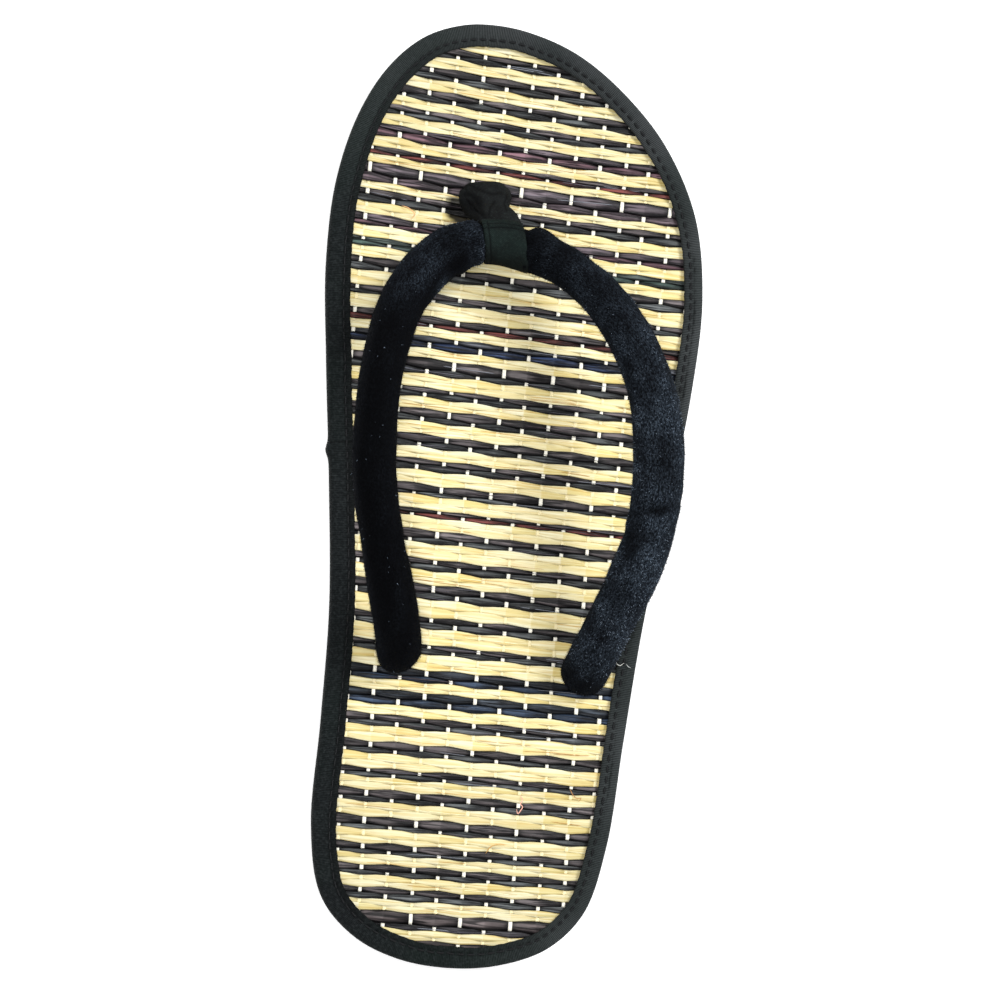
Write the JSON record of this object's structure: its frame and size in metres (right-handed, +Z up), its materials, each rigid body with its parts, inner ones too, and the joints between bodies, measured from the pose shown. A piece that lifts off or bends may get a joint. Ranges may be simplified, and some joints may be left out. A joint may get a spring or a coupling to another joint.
{
  "type": "zori sandal",
  "caption": "Flat thong sandal: woven straw mat footbed with taped rim on a foam sole, padded velvet V strap held by a tape loop at the toe gap.",
  "frame": {"origin": "on the floor under the middle of the sole's bounding box", "axes": "+Z up, +Y from heel to toe, +X to the outer (lateral) side of the right foot"},
  "size_m": [0.1015, 0.2487, 0.0515],
  "materials": {
    "foam_rubber": "matt black foam rubber with a fine grain",
    "rush_mat": "woven rush in bands of natural straw and dyed black, with white cotton warps",
    "ribbed_tape": "black ribbed binding tape, dull",
    "velvet": "blue-black crushed velvet over soft padding",
    "loop_tape": "black twill tape, dull"
  },
  "bodies": {
    "root": {"outsole": "foam_rubber", "footbed_mat": "rush_mat", "edge_binding": "ribbed_tape", "strap_roll": "velvet", "toe_loop": "loop_tape"}
  },
  "joints": []
}
